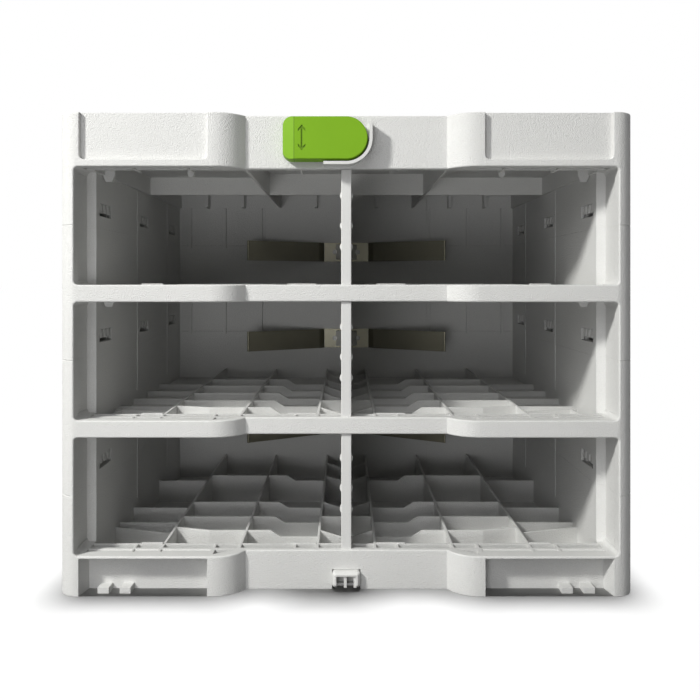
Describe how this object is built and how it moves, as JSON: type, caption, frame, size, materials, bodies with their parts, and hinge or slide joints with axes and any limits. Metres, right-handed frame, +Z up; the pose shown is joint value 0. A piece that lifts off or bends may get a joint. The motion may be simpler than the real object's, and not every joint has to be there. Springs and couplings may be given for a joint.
{
  "type": "tool case rack",
  "caption": "Stacking plastic rack with open front compartments for small tool cases, leaf springs at the back, a turning latch on the header and a folding carrying handle in the top.",
  "frame": {"origin": "centre of the rack's underside", "axes": "+X to the right seen from the front, +Y to the back, +Z up"},
  "size_m": [0.404, 0.296, 0.337],
  "materials": {
    "housing_plastic": "fine grained light grey ABS",
    "insert_plastic": "smooth light grey ABS",
    "clamp_plastic": "smooth light grey nylon",
    "handle_plastic": "fine grained light grey ABS",
    "latch_green": "satin green ABS",
    "spring_steel": "rolled spring steel strip",
    "fastener_steel": "zinc plated steel"
  },
  "bodies": {
    "root": {"base_housing": "housing_plastic", "lower_shelf": "housing_plastic", "upper_shelf": "housing_plastic", "top_housing": "housing_plastic", "divider_bottom": "insert_plastic", "divider_middle": "insert_plastic", "divider_top": "insert_plastic", "spring_root_bottom": "spring_steel", "spring_root_middle": "spring_steel", "spring_root_top": "spring_steel", "spring_clamp_bottom": "clamp_plastic", "spring_clamp_middle": "clamp_plastic", "spring_clamp_top": "clamp_plastic", "spring_screws": "fastener_steel", "latch_guard": "insert_plastic", "guard_screws": "fastener_steel", "latch_washer": "fastener_steel", "bottom_catch": "insert_plastic", "handle_bracket_left": "handle_plastic", "handle_bracket_right": "handle_plastic", "bracket_screws": "fastener_steel"},
    "latch": {"latch_lever": "latch_green", "latch_axle": "fastener_steel", "latch_ring": "fastener_steel"},
    "handle": {"carry_handle": "handle_plastic", "handle_pin_left": "fastener_steel", "handle_pin_right": "fastener_steel"},
    "spring_arm_bottom_left": {"spring_arm_bottom_left": "spring_steel"},
    "spring_arm_bottom_right": {"spring_arm_bottom_right": "spring_steel"},
    "spring_arm_middle_left": {"spring_arm_middle_left": "spring_steel"},
    "spring_arm_middle_right": {"spring_arm_middle_right": "spring_steel"},
    "spring_arm_top_left": {"spring_arm_top_left": "spring_steel"},
    "spring_arm_top_right": {"spring_arm_top_right": "spring_steel"}
  },
  "joints": [
    {"name": "latch_turn", "type": "hinge", "parent": "root", "child": "latch", "pos_m": [0, -0.136, 0.3192], "axis": [0, 1, 0], "range_deg": [0, 90]},
    {"name": "handle_fold", "type": "hinge", "parent": "root", "child": "handle", "pos_m": [0, -0.022, 0.3284], "axis": [1, 0, 0], "range_deg": [0, 90]},
    {"name": "spring_flex_bottom_left", "type": "hinge", "parent": "root", "child": "spring_arm_bottom_left", "pos_m": [-0.0243, 0.1346, 0.0618], "axis": [0, 0, -1], "range_deg": [0, 24], "stiffness_Nm_per_rad": 1.8},
    {"name": "spring_flex_bottom_right", "type": "hinge", "parent": "root", "child": "spring_arm_bottom_right", "pos_m": [0.0243, 0.1346, 0.0618], "axis": [0, 0, 1], "range_deg": [0, 24], "stiffness_Nm_per_rad": 1.8},
    {"name": "spring_flex_middle_left", "type": "hinge", "parent": "root", "child": "spring_arm_middle_left", "pos_m": [-0.0243, 0.1346, 0.1562], "axis": [0, 0, -1], "range_deg": [0, 24], "stiffness_Nm_per_rad": 1.8},
    {"name": "spring_flex_middle_right", "type": "hinge", "parent": "root", "child": "spring_arm_middle_right", "pos_m": [0.0243, 0.1346, 0.1562], "axis": [0, 0, 1], "range_deg": [0, 24], "stiffness_Nm_per_rad": 1.8},
    {"name": "spring_flex_top_left", "type": "hinge", "parent": "root", "child": "spring_arm_top_left", "pos_m": [-0.0243, 0.1346, 0.2506], "axis": [0, 0, -1], "range_deg": [0, 24], "stiffness_Nm_per_rad": 1.8},
    {"name": "spring_flex_top_right", "type": "hinge", "parent": "root", "child": "spring_arm_top_right", "pos_m": [0.0243, 0.1346, 0.2506], "axis": [0, 0, 1], "range_deg": [0, 24], "stiffness_Nm_per_rad": 1.8}
  ]
}
